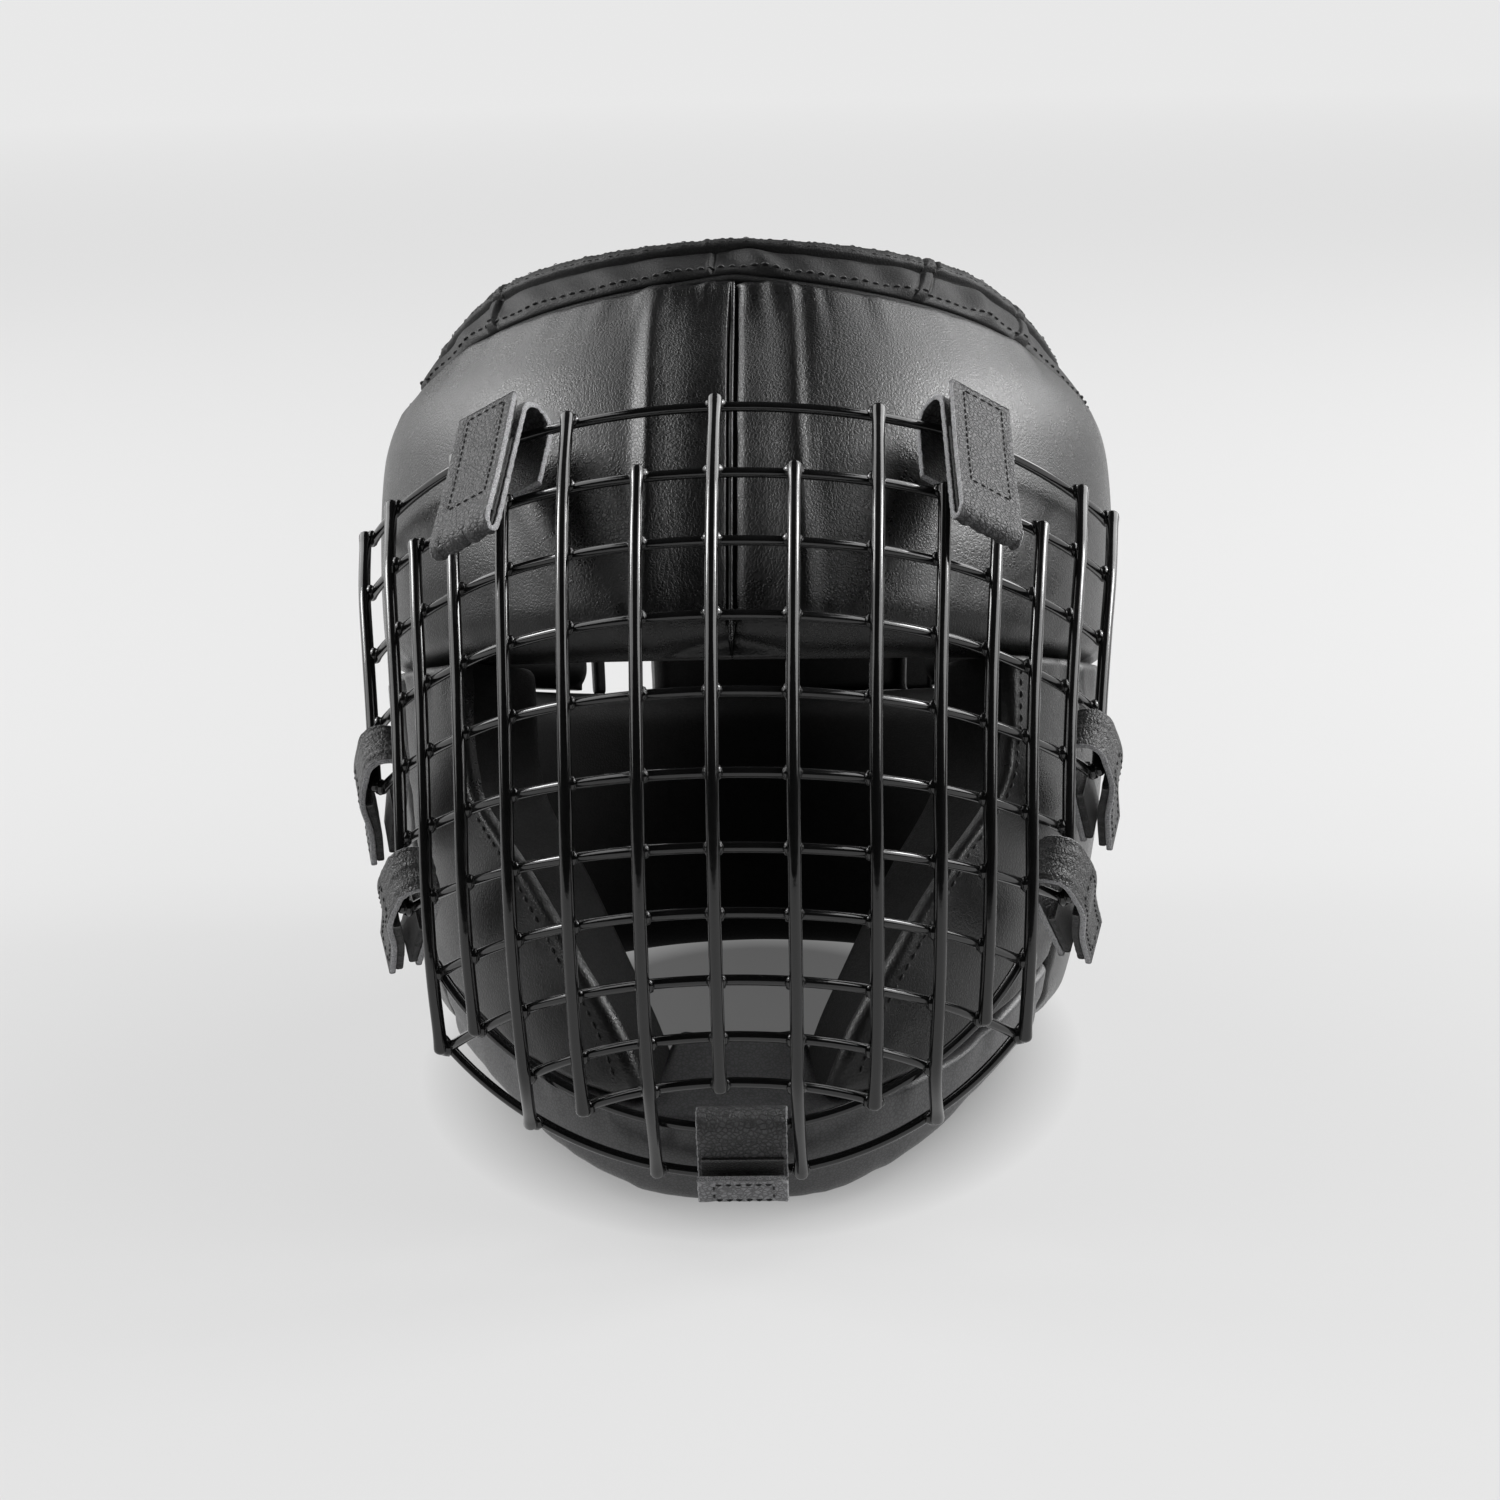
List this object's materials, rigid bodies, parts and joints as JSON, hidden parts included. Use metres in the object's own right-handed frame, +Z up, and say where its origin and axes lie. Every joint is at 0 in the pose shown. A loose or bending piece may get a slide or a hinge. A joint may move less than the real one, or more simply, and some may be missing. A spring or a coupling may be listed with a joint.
{
  "type": "boxing headgear with grille",
  "caption": "Full-face padded boxing headguard with an open crown ring, a chin bar and a domed welded wire grille held on by folded straps.",
  "frame": {"origin": "middle of the underside of the whole part, on the surface it rests on", "axes": "+Z up, -Y the way the face looks, +X to the right in the picture"},
  "size_m": [0.228, 0.3158, 0.2459],
  "materials": {
    "leather": "black satin coated leather over foam",
    "strap_leather": "black satin strap leather, sewn double",
    "coated_wire": "glossy black dip coating on steel wire"
  },
  "bodies": {
    "root": {"forehead_left": "leather", "forehead_right": "leather", "crown_band": "leather", "cheek_left": "leather", "cheek_right": "leather", "side_left": "leather", "side_right": "leather", "chin_bar": "leather", "back_pad": "leather", "back_tab": "leather", "rear_strap_left": "strap_leather", "rear_strap_right": "strap_leather", "top_strap_left": "strap_leather", "top_strap_right": "strap_leather", "side_strap_upper_left": "strap_leather", "side_strap_upper_right": "strap_leather", "side_strap_lower_left": "strap_leather", "side_strap_lower_right": "strap_leather", "chin_strap": "strap_leather", "grille": "coated_wire"}
  },
  "joints": []
}
